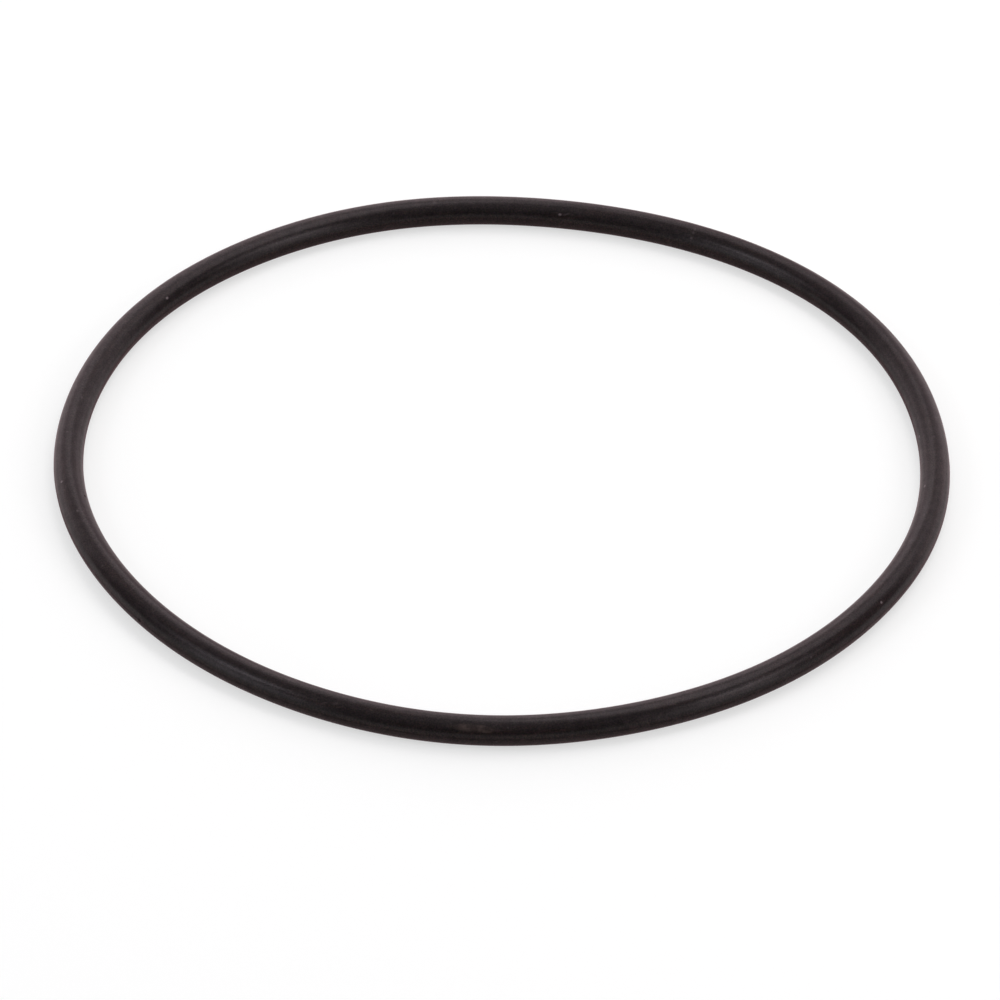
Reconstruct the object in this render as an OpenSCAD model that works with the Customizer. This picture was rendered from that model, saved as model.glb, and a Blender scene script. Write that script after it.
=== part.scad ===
// Moulded rubber O-ring, lying flat.
// Origin: centre of the ring, on the plane where the two mould halves met.
// +Z runs along the ring's axis, so the ring rests on the foot of its round section.

/* [Ring] */
// Inside diameter across the round section, before stretching
inside_d = 100; // [20:0.5:250]
// Diameter of the round cross section
section_d = 3.55; // [1.8:0.05:8]

/* [Parting line] */
// Width of the trimmed flash line at its crest, along the ring's axis
flash_w = 0.16; // [0.08:0.02:0.4]
// Height of the flash line above the round section
flash_h = 0.05; // [0.02:0.01:0.15]
// How much each side of the flash line slopes outwards down to the section
flash_flare = 0.06; // [0.02:0.01:0.15]
// How deep the root of the flash line reaches into the section
flash_root = 0.1; // [0.05:0.01:0.2]

/* [Hidden] */
$fn = 96;
rubber = [0.09, 0.08, 0.08];
section_r = section_d / 2;
centreline_r = inside_d / 2 + section_r;

// Flash of both mould joints as one web across the section: its two ends stand out as low
// ridges with a flat crest, one round the outside of the ring and one round the inside.
module flash_web() {
    crest_x = section_r + flash_h;
    root_x = section_r - flash_root;
    crest_z = flash_w / 2;
    root_z = crest_z + flash_flare;
    polygon([
        [crest_x, -crest_z],
        [crest_x, crest_z],
        [root_x, root_z],
        [-root_x, root_z],
        [-crest_x, crest_z],
        [-crest_x, -crest_z],
        [-root_x, -root_z],
        [root_x, -root_z]
    ]);
}

// Round cross section with the flash line where the mould halves met, outside and inside.
module section() {
    circle(d = section_d);
    flash_web();
}

module o_ring() {
    color(rubber)
    rotate_extrude()
    translate([centreline_r, 0])
    section();
}

o_ring();
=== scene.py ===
import math

import bpy
import numpy as np
from mathutils import Matrix, Vector


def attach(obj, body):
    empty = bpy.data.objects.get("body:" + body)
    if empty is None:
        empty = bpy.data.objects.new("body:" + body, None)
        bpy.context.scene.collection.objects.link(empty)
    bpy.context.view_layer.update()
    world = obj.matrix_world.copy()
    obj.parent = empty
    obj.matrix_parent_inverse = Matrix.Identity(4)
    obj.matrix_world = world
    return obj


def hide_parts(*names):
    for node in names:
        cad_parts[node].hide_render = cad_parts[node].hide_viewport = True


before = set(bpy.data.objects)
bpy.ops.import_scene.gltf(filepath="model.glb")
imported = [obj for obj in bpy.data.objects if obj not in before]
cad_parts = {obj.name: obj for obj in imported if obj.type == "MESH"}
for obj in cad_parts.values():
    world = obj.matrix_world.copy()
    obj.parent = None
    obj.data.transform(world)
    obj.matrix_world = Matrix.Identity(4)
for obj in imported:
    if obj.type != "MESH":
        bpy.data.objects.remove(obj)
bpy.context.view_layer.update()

MM = 0.001

# The ring's nominal sizes, as in the CAD solid
SECTION_R = 1.775 * MM
CENTRELINE_R = 51.775 * MM
# The skin lies just inside the nominal section, so that its swell never leaves the solid's box
SKIN_R = 1.770 * MM
FLOOR_Z = -SKIN_R

# How the free ring lies out of round: lobes round the ring, their height, and the angle of one in degrees
OUT_OF_ROUND = (
    (3, 0.287 * MM, 81.6),
    (4, 0.063 * MM, 135.0),
    (5, 0.151 * MM, -135.7),
    (6, 0.028 * MM, -116.9),
    (7, 0.036 * MM, -37.3),
    (9, 0.040 * MM, -113.9),
)
# Puts the middle of the out-of-round ring's box back on the ring's axis
RECENTRE_X = 0.055 * MM
RECENTRE_Y = 0.400 * MM

# Flash line, left where the mould halves met, outside and inside
FLASH_HALF_W = 0.06 * MM
FLASH_FOOT = 0.15 * MM
FLASH_H = 0.014 * MM
# How much thinner the section gets in places
SWELL = 0.006 * MM

RING_STEPS = 1000
FLASH_STEPS = (0.0, 0.03, 0.06, 0.09, 0.12, 0.15, 0.21)
SIDE_STEPS = 34
# The skin unrolls into so many rows, one above the other, in its OFBake map
UNROLLED_ROWS = 5
# The gap beside each row, as a share of a row's height
UNROLLED_GAP = 0.03


def noise_loop(seed, waves, roll_off):
    """A smooth periodic noise round the ring, about -1 to 1: a sum of sines up to so many waves round."""
    rng = np.random.default_rng(seed)
    turns = np.arange(1, waves + 1)
    phase = rng.uniform(0, 2 * math.pi, waves)
    height = rng.normal(0, 1, waves) / (1 + turns / roll_off)
    height /= math.sqrt((height ** 2).sum() / 2)
    return lambda angle: 0.5 * (height * np.sin(np.multiply.outer(angle, turns) + phase)).sum(-1)


def centreline(angle):
    """Centre of the section at an angle round the ring, and the outward normal there."""
    radius = CENTRELINE_R + sum(a * np.cos(k * angle - math.radians(p)) for k, a, p in OUT_OF_ROUND)
    slope = sum(-k * a * np.sin(k * angle - math.radians(p)) for k, a, p in OUT_OF_ROUND)
    x = radius * np.cos(angle) + RECENTRE_X
    y = radius * np.sin(angle) + RECENTRE_Y
    nx = radius * np.cos(angle) + slope * np.sin(angle)
    ny = radius * np.sin(angle) - slope * np.cos(angle)
    length = np.hypot(nx, ny)
    return x, y, nx / length, ny / length


def section_angles():
    """Angles round the section: close together over the flash lines, even over the sides."""
    near = np.array(FLASH_STEPS) * MM / SKIN_R
    quarter = np.concatenate([-near[:0:-1], near])
    side = np.linspace(near[-1], math.pi - near[-1], SIDE_STEPS + 2)[1:-1]
    return np.concatenate([quarter, side, quarter + math.pi, side + math.pi])


def make_ring():
    """The ring's skin: one closed grid of quads, wound round the ring and round the section."""
    around = np.arange(RING_STEPS) * 2 * math.pi / RING_STEPS
    across = section_angles()
    x, y, nx, ny = centreline(around)
    outer_noise = noise_loop(11, 420, 60)
    inner_noise = noise_loop(12, 300, 40)
    swell_noise = noise_loop(13, 60, 8)

    off_seam = np.abs(np.sin(across)) * SKIN_R
    crest = np.clip((FLASH_FOOT - off_seam) / (FLASH_FOOT - FLASH_HALF_W), 0, 1)
    crest = crest * crest * (3 - 2 * crest)
    outer = np.cos(across) > 0
    trim_out = np.clip(0.5 + 0.5 * outer_noise(around), 0, 1)
    trim_in = np.clip(0.5 + 0.5 * inner_noise(around), 0, 1)
    trim = np.where(outer[None, :], trim_out[:, None], trim_in[:, None])
    swell = SWELL * np.clip(0.5 + 0.5 * swell_noise(around), 0, 1)
    radius = (SKIN_R - swell)[:, None] + FLASH_H * trim * crest[None, :]

    out = radius * np.cos(across)[None, :]
    up = radius * np.sin(across)[None, :]
    points = np.stack([x[:, None] + out * nx[:, None], y[:, None] + out * ny[:, None], up], -1)
    rows, cols = points.shape[:2]
    i, j = np.meshgrid(np.arange(rows), np.arange(cols), indexing="ij")
    i2, j2 = (i + 1) % rows, (j + 1) % cols
    faces = np.stack([i * cols + j, i2 * cols + j, i2 * cols + j2, i * cols + j2], -1).reshape(-1, 4)

    mesh = bpy.data.meshes.new("o_ring_skin")
    mesh.from_pydata(points.reshape(-1, 3).tolist(), [], faces.tolist())
    mesh.validate()

    # Round the ring and round the section as unit circles, so that no pattern has a seam
    spin = np.stack([np.cos(around), np.sin(around), np.zeros(rows)], -1)
    turn = np.stack([np.cos(across), np.sin(across), np.zeros(cols)], -1)
    for name, values in (
        ("round_ring", np.repeat(spin, cols, 0)),
        ("round_section", np.tile(turn, (rows, 1))),
    ):
        layer = mesh.attributes.new(name, "FLOAT_VECTOR", "POINT")
        layer.data.foreach_set("vector", values.astype(np.float32).ravel())
    unroll(mesh, i, j, across)
    mesh.polygons.foreach_set("use_smooth", np.ones(len(mesh.polygons), bool))
    mesh.update()
    ring = bpy.data.objects.new("o_ring_skin", mesh)
    bpy.context.scene.collection.objects.link(ring)
    return ring


def unroll(mesh, i, j, across):
    """The OFBake map: equal lengths of the skin, laid one above the other with gaps between."""
    gap = UNROLLED_GAP
    row_steps = RING_STEPS // UNROLLED_ROWS
    turned = np.append(across - across[0], 2 * math.pi) / (2 * math.pi)
    row, along = i // row_steps, i % row_steps
    low, high = along / row_steps, (along + 1) / row_steps
    near, far = turned[j], turned[j + 1]
    u = np.stack([low, high, high, low], -1)
    v = np.stack([near, near, far, far], -1)
    u = gap / UNROLLED_ROWS + (1 - 2 * gap / UNROLLED_ROWS) * u
    v = (row[..., None] + gap + (1 - 2 * gap) * v) / UNROLLED_ROWS
    layer = mesh.uv_layers.new(name="OFBake")
    layer.data.foreach_set("uv", np.stack([u, v], -1).astype(np.float32).ravel())


def surface_frame(ring_deg, section_deg):
    """A place on the skin, with axes along the ring, round the section and out of the skin.
    The degrees go round the ring from +X to +Y, and round the section from outside over the top."""
    x, y, nx, ny = map(float, centreline(math.radians(ring_deg)))
    s = math.radians(section_deg)
    outward, upward = Vector((nx, ny, 0)), Vector((0, 0, 1))
    centre = Vector((x, y, 0)) + SKIN_R * (math.cos(s) * outward + math.sin(s) * upward)
    along = upward.cross(outward)
    side = math.cos(s) * upward - math.sin(s) * outward
    return centre, Matrix((along, side, along.cross(side))).transposed()


class Nodes:
    """Short calls to build a node tree."""

    def __init__(self, tree):
        self.tree = tree

    def add(self, kind, inputs=(), **settings):
        node = self.tree.nodes.new(kind)
        for name, value in settings.items():
            setattr(node, name, value)
        for key, value in dict(inputs).items():
            if isinstance(value, bpy.types.NodeSocket):
                self.tree.links.new(value, node.inputs[key])
            else:
                node.inputs[key].default_value = value
        return node

    def attribute(self, name):
        node = self.add("ShaderNodeAttribute", attribute_name=name)
        return self.add("ShaderNodeSeparateXYZ", {0: node.outputs["Vector"]})

    def vector(self, operation, **inputs):
        keys = {"a": 0, "b": 1, "c": 2, "scale": "Scale"}
        return self.add(
            "ShaderNodeVectorMath",
            {keys[name]: value for name, value in inputs.items()},
            operation=operation,
        )

    def mix(self, share, a, b):
        node = self.add("ShaderNodeMix", {0: share, 6: a, 7: b}, data_type="RGBA")
        return node.outputs[2]

    def math(self, operation, a, b=0.0, c=0.0, clamp=False):
        node = self.add("ShaderNodeMath", {0: a, 1: b, 2: c}, operation=operation, use_clamp=clamp)
        return node.outputs[0]

    def times(self, a, b):
        return self.math("MULTIPLY", a, b)

    def swing(self, value, height):
        """A noise value as a height above and below nought."""
        return self.times(self.math("SUBTRACT", value, 0.5), height)

    def span(self, value, low, high, to_low=0.0, to_high=1.0):
        node = self.add(
            "ShaderNodeMapRange",
            {"Value": value, "From Min": low, "From Max": high, "To Min": to_low, "To Max": to_high},
            interpolation_type="SMOOTHSTEP",
        )
        return node.outputs["Result"]


# Marks on the skin. Each: degrees round the ring from +X to +Y, degrees round the section from outside
# over the top, half its length along the ring and half its width in mm, its turn in degrees, its strength
DUST_SPECKS = (
    (327.5, 44, 0.26, 0.21, 0, 1.00),
    (144.3, 132, 0.29, 0.21, 10, 1.10),
    (188.8, 52, 0.29, 0.21, 0, 1.20),
    (82.4, 146, 0.28, 0.21, 0, 0.75),
    (81.5, 143, 0.60, 0.11, 20, 0.24),
    (353.4, 130, 0.33, 0.21, 0, 0.95),
    (195.8, 80, 0.34, 0.21, 0, 0.32),
    (5.4, 152, 0.33, 0.21, 0, 0.85),
    (63.0, 144, 0.24, 0.20, 0, 0.30),
    (63.0, 120, 0.24, 0.22, 0, 0.21),
    (63.0, 104, 0.24, 0.26, 0, 0.17),
    (170.6, 104, 0.38, 0.18, 0, 0.21),
    (313.0, 36, 0.20, 0.20, 0, 0.27),
    (340.6, 108, 0.30, 0.20, 0, 0.18),
    (100.1, 106, 0.38, 0.36, 0, 0.14),
    (195.3, 30, 0.26, 0.22, 0, 0.18),
    (242.2, 92, 0.20, 0.26, 0, 0.17),
    (59.6, 188, 0.24, 0.20, 0, 0.12),
    (66.1, 198, 0.24, 0.36, 0, 0.11),
    (106.1, 136, 0.20, 0.20, 0, 0.12),
    (3.9, 88, 0.38, 0.20, 0, 0.17),
    (346.5, 100, 0.34, 0.20, 0, 0.17),
    (124.0, 140, 0.24, 0.20, 0, 0.15),
    (207.5, 54, 0.24, 0.20, 0, 0.17),
    (249.4, 56, 0.60, 0.19, 32, 0.12),
    (247.9, 44, 0.60, 0.19, 32, 0.10),
)
# Pale brown patches on the front of the ring, lighter than the rubber round them
PALE_BROWN_PATCHES = (
    (265.7, 56, 0.80, 0.22, 0, 0.45),
    (266.9, 42, 0.70, 0.24, -6, 0.50),
    (268.6, 34, 0.80, 0.26, 0, 0.60),
    (267.0, 46, 3.60, 0.62, -3, 0.35),
)
# Pits in the skin: the relief presses each in, and their colour is darkened as painted shade
PITS_AND_PAINTED_SHADE = (
    (192.2, 136, 0.30, 0.22, 0, 1.00),
    (336.9, 0, 0.55, 0.20, 0, 0.50),
    (218.1, 1, 0.40, 0.36, 0, 0.60),
    (203.4, 4, 0.40, 0.20, 0, 0.45),
    (276.6, 110, 0.36, 0.18, 0, 0.35),
    (283.5, 116, 0.26, 0.30, 0, 0.35),
)
# How far down into the skin a mark reaches
MARK_DEPTH = 0.5 * MM

RUBBER = (0.0093, 0.0080, 0.0081, 1)
RUBBER_BROWN = (0.0122, 0.0089, 0.0084, 1)
RUBBER_UNDER = (0.0162, 0.0112, 0.0108, 1)
FLASH_COLOUR = (0.0052, 0.0044, 0.0044, 1)
DUST = (0.115, 0.101, 0.105, 1)
PALE_PATCH_COLOUR = (0.118, 0.093, 0.080, 1)
# How far a full pale brown patch covers the rubber, and how strong the grains of dust without a set place
# can be
PALE_PATCH_COVER = 0.85
FAINT_DUST = 0.22

# The shine of the moulded skin
COAT = 0.48
COAT_ROUGHNESS = 0.28
COAT_IOR = 1.40
SHEEN = 0.23
SHEEN_ROUGHNESS = 0.36
SHEEN_TINT = (1.0, 0.56, 0.62, 1)
# How much of the shine is lost under the joint outside and inside, in the torn flash and in dust
UNDER_DULL_OUTSIDE = 0.53
UNDER_DULL_INSIDE = 0.69
FLASH_DULL = 0.55
DUST_DULL = 0.4

# Heights of the skin's fine relief
FINE_LINE_H = 0.0012 * MM
FINE_LINE_H_AT_JOINT = 0.0028 * MM
BROAD_LINE_H = 0.0029 * MM
GRAIN_H = 0.0085 * MM
PIT_DEPTH = 0.03 * MM


def marks(n, place, rows):
    """How much of any of these marks there is at a place, from 0 to 1."""
    total = None
    for ring_deg, section_deg, half_length, half_width, turn_deg, strength in rows:
        centre, axes = surface_frame(ring_deg, section_deg)
        turned = axes @ Matrix.Rotation(math.radians(turn_deg), 3, "Z")
        inside = n.add("ShaderNodeMapping", {
            "Vector": place,
            "Location": centre,
            "Rotation": turned.to_euler(),
            "Scale": (half_length * MM, half_width * MM, MARK_DEPTH),
        }, vector_type="TEXTURE")
        distance = n.vector("LENGTH", a=inside.outputs[0]).outputs["Value"]
        here = n.span(distance, 1.0, 0.35, 0.0, strength)
        total = here if total is None else n.math("MAXIMUM", total, here)
    return total


def rubber():
    """Matt black rubber: fine lines along the ring, a grain, brown tinges, dust, a torn flash line."""
    material = bpy.data.materials.new("black_rubber")
    material.use_nodes = True
    material.node_tree.nodes.clear()
    n = Nodes(material.node_tree)
    spin = n.attribute("round_ring")
    turn = n.attribute("round_section")
    place = n.add("ShaderNodeTexCoord").outputs["Object"]

    def pattern(length, width, detail, seed):
        """Noise about so many mm long along the ring and so many mm wide across it."""
        along, across = CENTRELINE_R / MM / length, SECTION_R / MM / width
        where = n.add("ShaderNodeCombineXYZ", {
            0: n.times(spin.outputs[0], along),
            1: n.times(spin.outputs[1], along),
            2: n.times(turn.outputs[0], across),
        })
        noise = n.add("ShaderNodeTexNoise", {
            "Vector": where.outputs[0],
            "W": n.math("MULTIPLY_ADD", turn.outputs[1], across, seed),
            "Scale": 1.0,
            "Detail": detail,
            "Roughness": 0.55,
        }, noise_dimensions="4D")
        return noise.outputs["Fac"]

    def speckle(size, detail):
        """Even noise about so many mm across."""
        return n.add("ShaderNodeTexNoise", {"Vector": place, "Scale": 1 / (size * MM), "Detail": detail})

    fine_lines = pattern(7.0, 0.12, 1.0, 3.1)
    broad_lines = pattern(16.0, 0.36, 1.0, 11.7)
    tinge = pattern(7.0, 0.9, 2.0, 51.3)
    broken = pattern(1.6, 5.0, 2.0, 67.7)
    grains = speckle(0.17, 1.0)
    grain, grain_colour = grains.outputs["Fac"], grains.outputs["Color"]
    mottle = speckle(1.1, 2.0).outputs["Fac"]

    # The flash line and the faint scores beside it, by the height over the mould's joint
    height = n.times(turn.outputs[1], SECTION_R / MM)
    off_joint = n.math("ABSOLUTE", height)
    torn = n.span(off_joint, 0.20, 0.05)
    torn = n.times(torn, n.span(broken, 0.36, 0.66, 0.10, 0.6))
    torn = n.times(torn, n.span(turn.outputs[0], -0.2, 0.2, 0.3, 1.0))
    near_joint = n.span(off_joint, 0.9, 0.3)
    # The joint and the side under it are browner and duller
    under = n.span(height, 0.75, 0.0)

    dust = marks(n, place, DUST_SPECKS)
    pale_patch = marks(n, place, PALE_BROWN_PATCHES)
    pale_patch = n.times(pale_patch, n.span(broad_lines, 0.3, 0.6, 0.4, 1.0))
    pale_patch = n.times(pale_patch, n.span(mottle, 0.38, 0.62, 0.35, 1.0))
    pits_and_shade = marks(n, place, PITS_AND_PAINTED_SHADE)

    # A few more dust grains, too faint to place one by one
    cells = n.add("ShaderNodeTexVoronoi", {"Vector": place, "Scale": 0.75 / MM, "Randomness": 1.0})
    pick = n.add("ShaderNodeSeparateColor", {0: cells.outputs["Color"]})
    faint = n.span(cells.outputs["Distance"], 0.15, 0.05)
    faint = n.times(faint, n.span(pick.outputs[0], 0.86, 1.0, 0.0, FAINT_DUST))

    brown = n.span(tinge, 0.46, 0.72)
    brown = n.math("MAXIMUM", brown, pale_patch)
    colour = n.mix(brown, RUBBER, RUBBER_BROWN)
    colour = n.mix(under, colour, RUBBER_UNDER)
    shade = n.times(n.span(mottle, 0.25, 0.75, 0.84, 1.16), n.span(grain, 0.2, 0.8, 0.52, 1.48))
    # Painted shade: the colour in the pits darkens to a tenth at their middle
    shade = n.times(shade, n.span(pits_and_shade, 0.0, 0.8, 1.0, 0.1))
    colour = n.vector("SCALE", a=colour, scale=shade)
    # Each colour of the grain also swings a little by itself
    tint = n.vector("MULTIPLY_ADD", a=grain_colour, b=(1.1, 1.1, 1.1), c=(0.45, 0.45, 0.45))
    colour = n.vector("MULTIPLY", a=colour.outputs[0], b=tint.outputs[0])
    colour = n.mix(torn, colour.outputs[0], FLASH_COLOUR)
    colour = n.mix(n.times(pale_patch, PALE_PATCH_COVER), colour, PALE_PATCH_COLOUR)
    colour = n.mix(n.math("MAXIMUM", dust, faint), colour, DUST)

    fine_height = n.span(near_joint, 0.0, 1.0, FINE_LINE_H, FINE_LINE_H_AT_JOINT)
    relief = n.swing(fine_lines, fine_height)
    relief = n.math("ADD", relief, n.swing(broad_lines, BROAD_LINE_H))
    relief = n.math("ADD", relief, n.swing(grain, GRAIN_H))
    relief = n.math("SUBTRACT", relief, n.times(pits_and_shade, PIT_DEPTH))
    bump = n.add("ShaderNodeBump", {"Height": relief, "Distance": 1.0, "Strength": 1.0})

    # The torn flash, the pits and the dust shine less than the moulded skin
    dull = n.math("MAXIMUM", n.times(torn, FLASH_DULL), n.math("MULTIPLY", pits_and_shade, 1.3, clamp=True))
    dull = n.math("MAXIMUM", dull, n.times(dust, DUST_DULL))
    gloss = n.span(mottle, 0.25, 0.75, 0.92 * COAT, 1.08 * COAT)
    gloss = n.times(gloss, n.math("SUBTRACT", 1.0, dull))
    worn = n.times(under, n.span(turn.outputs[0], -0.3, 0.3, UNDER_DULL_INSIDE, UNDER_DULL_OUTSIDE))
    gloss = n.times(gloss, n.math("SUBTRACT", 1.0, worn))
    gloss = n.times(gloss, n.span(grain, 0.2, 0.8, 0.89, 1.11))

    shader = n.add("ShaderNodeBsdfPrincipled", {
        "Base Color": colour,
        "Roughness": 0.6,
        "Specular IOR Level": 0.0,
        "Coat Weight": gloss,
        "Coat Roughness": COAT_ROUGHNESS,
        "Coat IOR": COAT_IOR,
        "Sheen Weight": SHEEN,
        "Sheen Roughness": SHEEN_ROUGHNESS,
        "Sheen Tint": SHEEN_TINT,
        "Normal": bump.outputs[0],
        "Coat Normal": bump.outputs[0],
    })
    n.add("ShaderNodeOutputMaterial", {"Surface": shader.outputs[0]})
    return material


FLOOR_COLOUR = (0.796, 0.90, 0.865, 1)
# How much of the floor's look comes from the lamps, and how much light it shows of its own
SHADOW_SHARE = 0.47
FLOOR_LIFT = 0.588
FLOOR_HALF = 4.0


def white_floor():
    """Floor that the camera and the reflections see as paper white, with a light shadow of the ring."""
    material = bpy.data.materials.new("white_floor")
    material.use_nodes = True
    material.node_tree.nodes.clear()
    n = Nodes(material.node_tree)
    path = n.add("ShaderNodeLightPath")
    seen = n.math("MAXIMUM", path.outputs["Is Camera Ray"], path.outputs["Is Glossy Ray"])
    seen = n.math("MAXIMUM", seen, path.outputs["Is Transmission Ray"])
    lift = n.times(seen, FLOOR_LIFT)
    plain = n.add("ShaderNodeBsdfDiffuse", {"Color": FLOOR_COLOUR})
    lit_colour = (*(SHADOW_SHARE * c for c in FLOOR_COLOUR[:3]), 1)
    shadowed = n.add("ShaderNodeBsdfDiffuse", {"Color": lit_colour})
    surface = n.add("ShaderNodeMixShader", {0: seen, 1: plain.outputs[0], 2: shadowed.outputs[0]})
    glow = n.add("ShaderNodeEmission", {"Color": (1, 1, 1, 1), "Strength": lift})
    both = n.add("ShaderNodeAddShader", {0: surface.outputs[0], 1: glow.outputs[0]})
    n.add("ShaderNodeOutputMaterial", {"Surface": both.outputs[0]})
    return material


def make_floor():
    mesh = bpy.data.meshes.new("floor")
    h = FLOOR_HALF
    corners = [(-h, -h, FLOOR_Z), (h, -h, FLOOR_Z), (h, h, FLOOR_Z), (-h, h, FLOOR_Z)]
    mesh.from_pydata(corners, [], [(0, 1, 2, 3)])
    mesh.materials.append(white_floor())
    floor = bpy.data.objects.new("floor", mesh)
    bpy.context.scene.collection.objects.link(floor)


# Softboxes as seen from the ring: the middle's degrees round to the right from straight behind, half the
# width in degrees, the degrees above the floor from and to, and the radiance
SOFTBOXES = (
    ("back_left_low", -45, 22.5, 0, 15, 1.68),
    ("back_left", -45, 22.5, 15, 35, 1.05),
    ("back_left_high", -45, 22.5, 35, 60, 0.68),
    ("middle_left_low", -14.25, 8.25, 0, 15, 0.90),
    ("middle_left", -14.25, 8.25, 15, 35, 1.95),
    ("middle_left_high", -14.25, 8.25, 35, 60, 1.50),
    ("middle_low", -1, 5, 0, 15, 1.05),
    ("middle", -1, 5, 15, 35, 2.55),
    ("middle_high", -1, 5, 35, 60, 1.95),
    ("middle_right_low", 9.25, 5.25, 0, 15, 0.40),
    ("middle_right", 9.25, 5.25, 15, 35, 0.90),
    ("middle_right_high", 13.25, 9.25, 35, 60, 1.05),
    ("back_right_low", 41, 26.5, 0, 15, 1.55),
    ("back_right", 41, 26.5, 15, 35, 1.00),
    ("back_right_high", 45, 22.5, 35, 60, 1.75),
    ("left_strip_back", -95, 8, 25, 55, 1.40),
    ("left_strip_low", -111, 8, 0, 25, 2.25),
    ("left_strip_high", -111, 8, 30, 47, 5.60),
    ("left_strip_front", -127, 8, 0, 25, 1.90),
    ("right_strip_back", 103, 8, 25, 55, 2.20),
    ("right_strip_low", 119, 8, 0, 25, 2.35),
    ("right_strip_high", 119, 8, 25, 42, 5.70),
    ("right_strip_front", 135, 8, 0, 25, 1.80),
    ("top_back_right", 45, 45, 60, 78, 3.20),
    ("top_back_left", -45, 45, 60, 78, 0.33),
    ("top_front_right", 135, 45, 60, 78, 0.35),
    ("top_front_left", -135, 45, 60, 78, 0.60),
    ("front_high", 180, 40, 35, 60, 0.28),
)
# The lamp straight above: half its width in degrees, and its radiance
OVERHEAD = (12.0, 0.85)
LAMP_DISTANCE = 0.8
ROOM_LIGHT = 0.03
LAMP_COLOUR = (1.0, 0.870, 0.905)
# The strips on the left are cooler
LEFT_COLOUR = (1.0, 0.915, 0.990)


def softbox(name, place, width, height, radiance, colour=LAMP_COLOUR):
    """A flat rectangular lamp of an even radiance that faces the ring."""
    lamp = bpy.data.lights.new(name, "AREA")
    lamp.shape = "RECTANGLE"
    lamp.size, lamp.size_y = width, height
    lamp.energy = radiance / colour[1] * math.pi * width * height
    lamp.color = colour
    thing = bpy.data.objects.new(name, lamp)
    thing.location = place
    thing.rotation_euler = (-Vector(place)).to_track_quat("-Z", "Y").to_euler()
    thing.visible_camera = False
    bpy.context.scene.collection.objects.link(thing)


def make_lights():
    for name, azimuth, half_width, low, high, radiance in SOFTBOXES:
        a, e = math.radians(azimuth), math.radians((low + high) / 2)
        direction = Vector((math.sin(a) * math.cos(e), math.cos(a) * math.cos(e), math.sin(e)))
        width = 2 * LAMP_DISTANCE * math.tan(math.radians(half_width)) * math.cos(e)
        height = 2 * LAMP_DISTANCE * math.tan(math.radians((high - low) / 2))
        colour = LEFT_COLOUR if name.startswith("left_strip") else LAMP_COLOUR
        softbox(name, direction * LAMP_DISTANCE, width, height, radiance, colour)
    half_angle, radiance = OVERHEAD
    side = 2 * LAMP_DISTANCE * math.tan(math.radians(half_angle))
    softbox("overhead", (0, 0, LAMP_DISTANCE), side, side, radiance)
    world = bpy.data.worlds.new("room")
    world.use_nodes = True
    background = world.node_tree.nodes["Background"]
    background.inputs["Color"].default_value = (1, 1, 1, 1)
    background.inputs["Strength"].default_value = ROOM_LIGHT
    bpy.context.scene.world = world


# The camera that fits both outlines of the ring in the photo
CAMERA_PLACE = (0.000065, -0.828922, 0.620087)
CAMERA_TARGET = (-0.000143, -0.007874, 0.0)
CAMERA_ROLL = math.radians(1.03)
CAMERA_LENS = 312.07


def make_camera():
    data = bpy.data.cameras.new("camera")
    data.sensor_width = 36.0
    data.lens = CAMERA_LENS
    data.clip_start, data.clip_end = 0.01, 20.0
    camera = bpy.data.objects.new("camera", data)
    aim = (Vector(CAMERA_TARGET) - Vector(CAMERA_PLACE)).to_track_quat("-Z", "Y").to_matrix().to_4x4()
    camera.matrix_world = Matrix.Translation(CAMERA_PLACE) @ aim @ Matrix.Rotation(CAMERA_ROLL, 4, "Z")
    bpy.context.scene.collection.objects.link(camera)
    bpy.context.scene.camera = camera


ring = make_ring()
ring.data.materials.append(rubber())
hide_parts("o_ring")
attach(ring, "root")

make_floor()
make_lights()
make_camera()
bpy.context.scene.view_settings.view_transform = "Standard"
